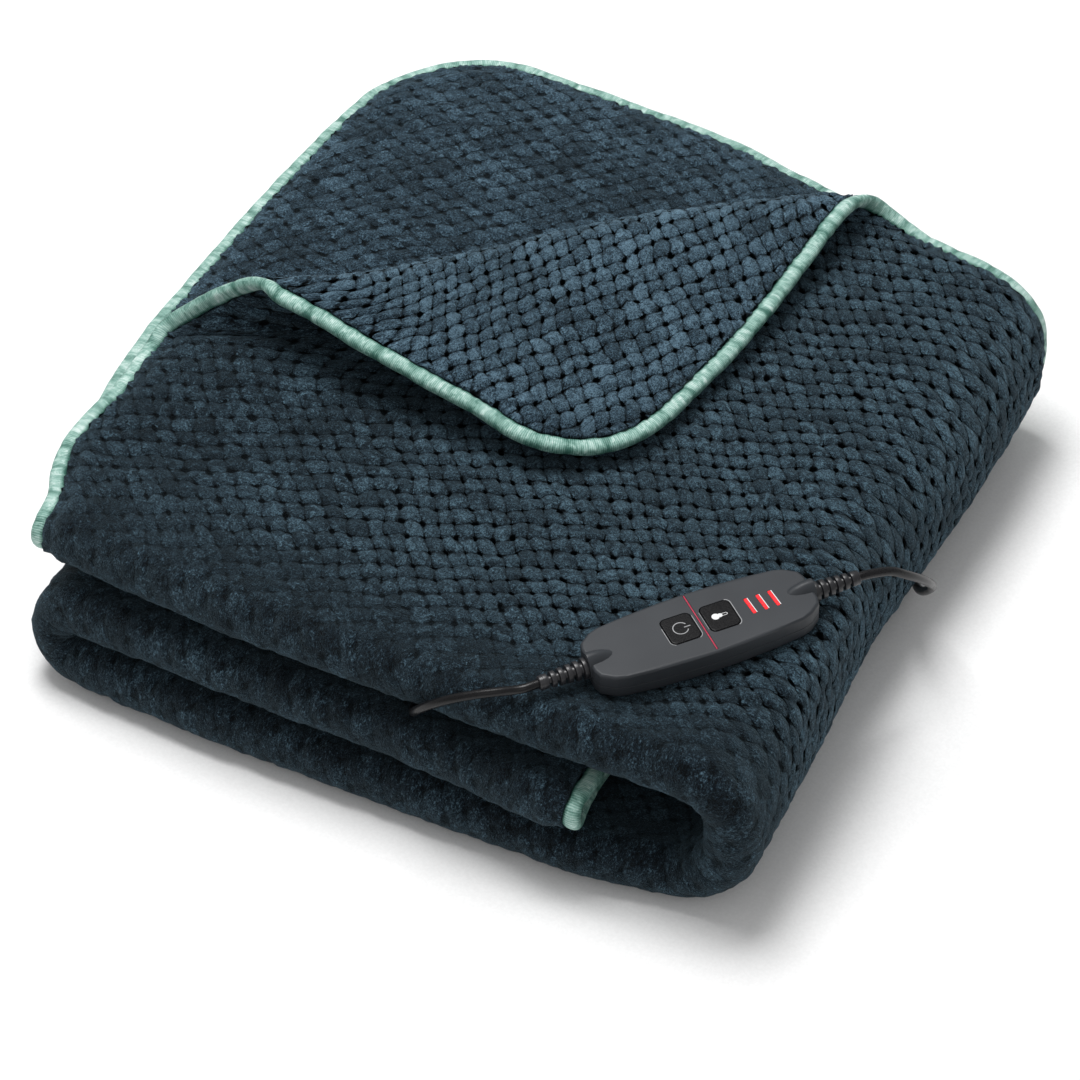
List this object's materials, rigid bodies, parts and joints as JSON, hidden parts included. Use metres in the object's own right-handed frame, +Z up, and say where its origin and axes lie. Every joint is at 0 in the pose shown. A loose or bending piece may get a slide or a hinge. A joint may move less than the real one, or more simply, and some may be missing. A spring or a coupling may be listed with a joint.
{
  "type": "electric heated blanket",
  "caption": "Folded electric heated blanket in tufted pile fleece with a satin edge binding, one corner turned back, an inline push-key controller on top and a coiled mains lead.",
  "frame": {"origin": "middle of the folded pile's outline, on the surface that it lies on", "axes": "+Z up, +X to the right along the front fold, +Y from the front fold to the back edges"},
  "size_m": [0.5086, 0.5808, 0.1578],
  "materials": {
    "pile_fleece": "honeycomb pile, matte",
    "satin_tape": "satin, ribbed across",
    "housing_plastic": "fine matte",
    "key_pad": "gloss",
    "red_lens": "gloss",
    "relief_rubber": "semi matte",
    "lead_sheath": "semi gloss",
    "pin_metal": "polished"
  },
  "bodies": {
    "blanket": {"blanket_cloth": "pile_fleece", "edge_binding": "satin_tape", "controller_base": "housing_plastic", "controller_cover": "housing_plastic", "indicator_1": "red_lens", "indicator_2": "red_lens", "indicator_3": "red_lens", "divider_line": "red_lens", "strain_relief_left": "relief_rubber", "strain_relief_right": "relief_rubber", "blanket_lead": "lead_sheath", "mains_lead": "lead_sheath", "plug_lead": "lead_sheath", "lead_coil": "lead_sheath", "mains_plug": "lead_sheath", "plug_pin_1": "pin_metal", "plug_pin_2": "pin_metal"},
    "power_key": {"key_power": "key_pad"},
    "heat_key": {"key_heat": "key_pad"}
  },
  "joints": [
    {"name": "power_key_press", "type": "slide", "parent": "blanket", "child": "power_key", "axis": [0.0159, 0.0186, -0.9997], "range_m": [0, 0.0007], "stiffness_N_per_m": 600},
    {"name": "heat_key_press", "type": "slide", "parent": "blanket", "child": "heat_key", "axis": [0.0159, 0.0186, -0.9997], "range_m": [0, 0.0007], "stiffness_N_per_m": 600}
  ]
}
